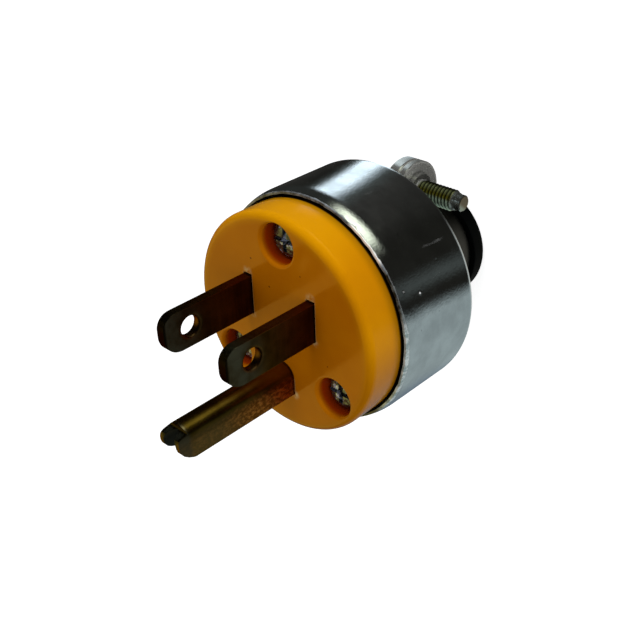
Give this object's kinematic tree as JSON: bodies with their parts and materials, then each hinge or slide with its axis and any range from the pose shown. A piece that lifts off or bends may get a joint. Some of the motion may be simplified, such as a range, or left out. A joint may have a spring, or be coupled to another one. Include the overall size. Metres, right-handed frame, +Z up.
{
  "type": "grounded plug",
  "caption": "Rewireable grounded plug: moulded face with flat blades and a U-shaped ground pin, in a drawn steel shell with a clamped rubber cord bushing.",
  "frame": {"origin": "centre of the moulded face, where it meets an outlet, on the plug's axis", "axes": "+Z up, the way the prongs point, -Z towards the cord, where the plug stands on its bushing, +Y away from the ground pin, +X to the right when looking down at the face with the ground pin nearest"},
  "size_m": [0.0376, 0.0376, 0.0604],
  "materials": {
    "moulded_body": "glossy moulded thermoplastic, orange yellow",
    "blade_brass": "tarnished brass, rolled",
    "ground_brass": "tarnished brass, folded strip",
    "bright_screw": "bright zinc plate",
    "brass_screw": "brass",
    "green_screw": "green dyed plate",
    "shell_steel": "bright zinc plated drawn steel",
    "clamp_steel": "zinc plated pressed steel",
    "chromate_screw": "yellow chromate zinc plate",
    "fibre": "grey vulcanised fibre",
    "black_rubber": "matt moulded rubber"
  },
  "bodies": {
    "root": {"assembly_screw_left": "bright_screw", "assembly_screw_right": "bright_screw", "assembly_screw_top": "bright_screw", "clamp_half_left": "clamp_steel", "clamp_half_right": "clamp_steel", "clamp_screw_lower": "chromate_screw", "clamp_screw_upper": "chromate_screw", "clamp_washer_lower": "clamp_steel", "clamp_washer_upper": "clamp_steel", "cord_bushing": "black_rubber", "face_body": "moulded_body", "ground_pin": "ground_brass", "ground_terminal_screw": "green_screw", "insulating_liner": "fibre", "line_blade": "blade_brass", "line_terminal_screw": "brass_screw", "neutral_blade": "blade_brass", "neutral_terminal_screw": "bright_screw", "rear_insulator": "fibre", "steel_shell": "shell_steel"}
  },
  "joints": []
}
